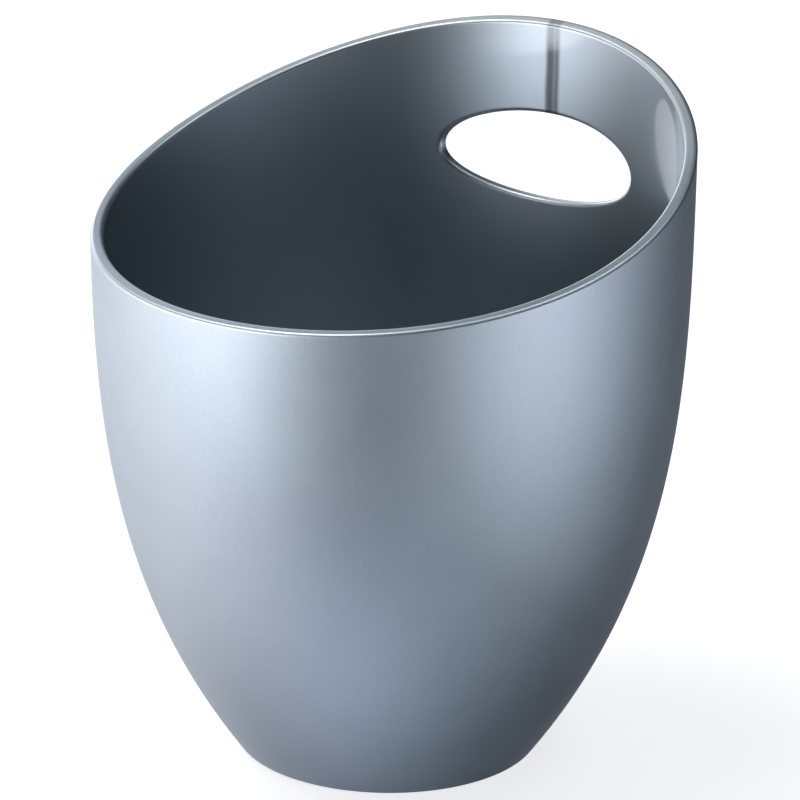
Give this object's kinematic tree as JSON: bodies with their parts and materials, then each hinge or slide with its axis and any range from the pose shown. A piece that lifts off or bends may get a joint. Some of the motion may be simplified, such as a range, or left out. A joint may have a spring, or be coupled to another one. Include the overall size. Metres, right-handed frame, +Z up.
{
  "type": "champagne bucket",
  "caption": "Tapered round wine and ice bucket with a slanted, dipping rim, an oval hand hole in its high side and non-slip feet.",
  "frame": {"origin": "centre of the plane that the feet rest on, on the bucket's axis", "axes": "+Z up along the bucket's axis; +Y towards the high side with the hand hole; +X to the right as seen from the low front"},
  "size_m": [0.2198, 0.2197, 0.2588],
  "materials": {
    "silver_plastic": "metallic-flake silver plastic, satin outside and glossier inside",
    "foot_rubber": "matt dark grey thermoplastic rubber"
  },
  "bodies": {
    "root": {"bucket_shell": "silver_plastic", "foot_front_right": "foot_rubber", "foot_back_right": "foot_rubber", "foot_back_left": "foot_rubber", "foot_front_left": "foot_rubber"}
  },
  "joints": []
}
